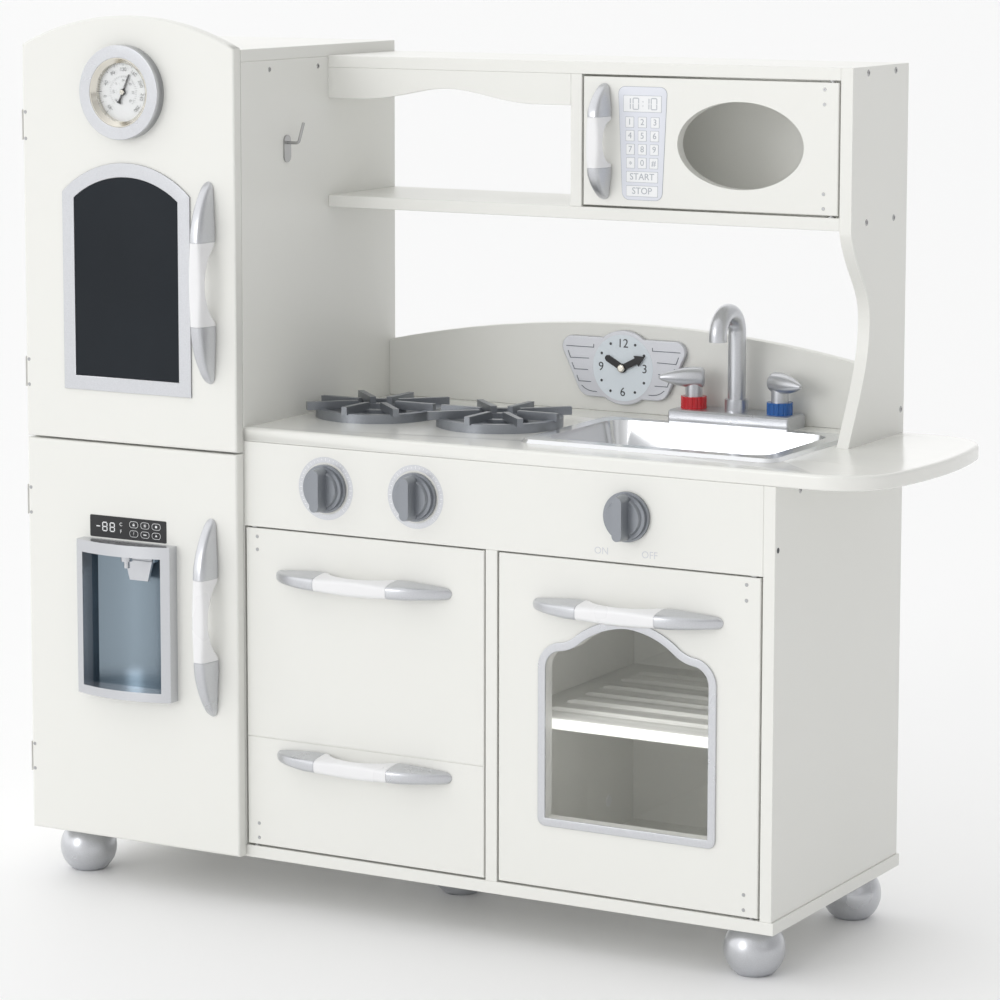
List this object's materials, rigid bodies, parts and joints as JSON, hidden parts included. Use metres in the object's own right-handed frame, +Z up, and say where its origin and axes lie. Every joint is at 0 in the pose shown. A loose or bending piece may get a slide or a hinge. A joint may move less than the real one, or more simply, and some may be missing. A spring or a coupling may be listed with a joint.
{
  "type": "toy kitchen",
  "caption": "Wooden toy kitchen with a fridge tower, cupboard, oven with a window, stove knobs and burners, sink with faucet, wall clock, raised shelf with a microwave and ball feet.",
  "frame": {"origin": "centre of the bounding box on the floor", "axes": "+X to the right along the fronts of the cabinets, +Y from the fronts to the back, +Z up"},
  "size_m": [0.9354, 0.3308, 0.876],
  "materials": {
    "ivory_paint": "satin paint on board, ivory white",
    "silver_painted_wood": "fine metallic silver paint on wood",
    "silver_plastic": "fine metallic silver paint on plastic",
    "white_grip_plastic": "white grip between two silver painted end caps",
    "graphite_plastic": "dark graphite grey, slightly metallic",
    "bright_steel": "zinc plated",
    "white_coated_steel": "ivory white coating",
    "polished_metal": "polished",
    "clear_pane": "clear",
    "black_plastic": "satin black",
    "slate_paint": "chalkboard black",
    "grey_plastic": "satin grey",
    "red_plastic": "glossy red",
    "blue_plastic": "glossy blue"
  },
  "bodies": {
    "carcase": {"base_board": "ivory_paint", "feet": "silver_painted_wood", "fridge_left_side": "ivory_paint", "fridge_right_side": "ivory_paint", "fridge_shelf": "ivory_paint", "fridge_top": "ivory_paint", "back_panels": "ivory_paint", "fridge_side_hinges": "white_coated_steel", "utensil_hook": "bright_steel", "right_side_panel": "ivory_paint", "centre_divider": "ivory_paint", "control_panel": "ivory_paint", "worktop": "ivory_paint", "backsplash": "ivory_paint", "left_burner": "graphite_plastic", "right_burner": "graphite_plastic", "sink_basin": "silver_plastic", "faucet_base": "silver_plastic", "hot_collar": "red_plastic", "cold_collar": "blue_plastic", "clock_plate": "silver_plastic", "clock_pin": "polished_metal", "upper_right_panel": "ivory_paint", "top_board": "ivory_paint", "raised_shelf": "ivory_paint", "upper_divider": "ivory_paint", "valance": "ivory_paint", "oven_shelf": "ivory_paint", "pivot_pins": "bright_steel", "door_catches": "ivory_paint"},
    "upper_door": {"fridge_upper_door": "ivory_paint", "upper_door_hinges": "white_coated_steel", "upper_door_handle": "white_grip_plastic", "thermometer_ring": "silver_plastic", "thermometer_case": "polished_metal", "thermometer_glass": "clear_pane", "chalkboard_frame": "silver_painted_wood", "chalkboard": "slate_paint"},
    "lower_door": {"fridge_lower_door": "ivory_paint", "lower_door_hinges": "white_coated_steel", "lower_door_handle": "white_grip_plastic", "dispenser_housing": "silver_plastic"},
    "cupboard": {"cupboard_door": "ivory_paint", "cupboard_handles": "white_grip_plastic"},
    "oven": {"oven_door": "ivory_paint", "oven_window_frame": "silver_plastic", "oven_window_pane": "clear_pane", "oven_handle": "white_grip_plastic"},
    "microwave": {"microwave_door": "ivory_paint", "microwave_handle": "white_grip_plastic"},
    "needle": {"thermometer_needle": "black_plastic"},
    "paddle": {"dispenser_paddle": "grey_plastic"},
    "knob_left": {"left_knob": "graphite_plastic"},
    "knob_middle": {"middle_knob": "graphite_plastic"},
    "knob_oven": {"oven_knob": "graphite_plastic"},
    "tap_hot": {"hot_tap": "silver_plastic"},
    "tap_cold": {"cold_tap": "silver_plastic"},
    "swing_spout": {"spout": "silver_plastic"},
    "hand_hour": {"hour_hand": "black_plastic"},
    "hand_minute": {"minute_hand": "black_plastic"}
  },
  "joints": [
    {"name": "upper_door_hinge", "type": "hinge", "parent": "carcase", "child": "upper_door", "pos_m": [-0.4652, -0.126, 0.642], "axis": [0, 0, -1], "range_deg": [0, 110]},
    {"name": "lower_door_hinge", "type": "hinge", "parent": "carcase", "child": "lower_door", "pos_m": [-0.4652, -0.126, 0.256], "axis": [0, 0, -1], "range_deg": [0, 110]},
    {"name": "cupboard_hinge", "type": "hinge", "parent": "carcase", "child": "cupboard", "pos_m": [-0.2003, -0.1211, 0.22], "axis": [0, 0, -1], "range_deg": [0, 90]},
    {"name": "oven_hinge", "type": "hinge", "parent": "carcase", "child": "oven", "pos_m": [0.3397, -0.1211, 0.22], "axis": [0, 0, 1], "range_deg": [0, 105]},
    {"name": "microwave_hinge", "type": "hinge", "parent": "carcase", "child": "microwave", "pos_m": [0.3397, 0.0374, 0.758], "axis": [0, 0, 1], "range_deg": [0, 105]},
    {"name": "needle_pivot", "type": "hinge", "parent": "upper_door", "child": "needle", "pos_m": [-0.3378, -0.1416, 0.8015], "axis": [0, 1, 0], "range_deg": [-135, 155]},
    {"name": "paddle_pivot", "type": "hinge", "parent": "lower_door", "child": "paddle", "pos_m": [-0.3378, -0.1226, 0.3365], "axis": [-1, 0, 0], "range_deg": [0, 12], "stiffness_Nm_per_rad": 0.004},
    {"name": "knob_left_turn", "type": "hinge", "parent": "carcase", "child": "knob_left", "pos_m": [-0.116, -0.1356, 0.4245], "axis": [0, 1, 0], "range_deg": [0, 270]},
    {"name": "knob_middle_turn", "type": "hinge", "parent": "carcase", "child": "knob_middle", "pos_m": [-0.0154, -0.1356, 0.4245], "axis": [0, 1, 0], "range_deg": [0, 270]},
    {"name": "knob_oven_turn", "type": "hinge", "parent": "carcase", "child": "knob_oven", "pos_m": [0.2117, -0.1356, 0.4245], "axis": [0, 1, 0], "range_deg": [-45, 45]},
    {"name": "hot_tap_turn", "type": "hinge", "parent": "carcase", "child": "tap_hot", "pos_m": [0.1542, 0.1269, 0.508], "axis": [0, 0, 1], "range_deg": [0, 90]},
    {"name": "cold_tap_turn", "type": "hinge", "parent": "carcase", "child": "tap_cold", "pos_m": [0.2472, 0.1269, 0.508], "axis": [0, 0, -1], "range_deg": [0, 90]},
    {"name": "spout_swivel", "type": "hinge", "parent": "carcase", "child": "swing_spout", "pos_m": [0.2007, 0.1269, 0.528], "axis": [0, 0, 1], "range_deg": [-60, 60]},
    {"name": "hour_hand_turn", "type": "hinge", "parent": "carcase", "child": "hand_hour", "pos_m": [0.0657, 0.1444, 0.5235], "axis": [0, 1, 0], "continuous": true},
    {"name": "minute_hand_turn", "type": "hinge", "parent": "carcase", "child": "hand_minute", "pos_m": [0.0657, 0.1424, 0.5235], "axis": [0, 1, 0], "continuous": true}
  ]
}
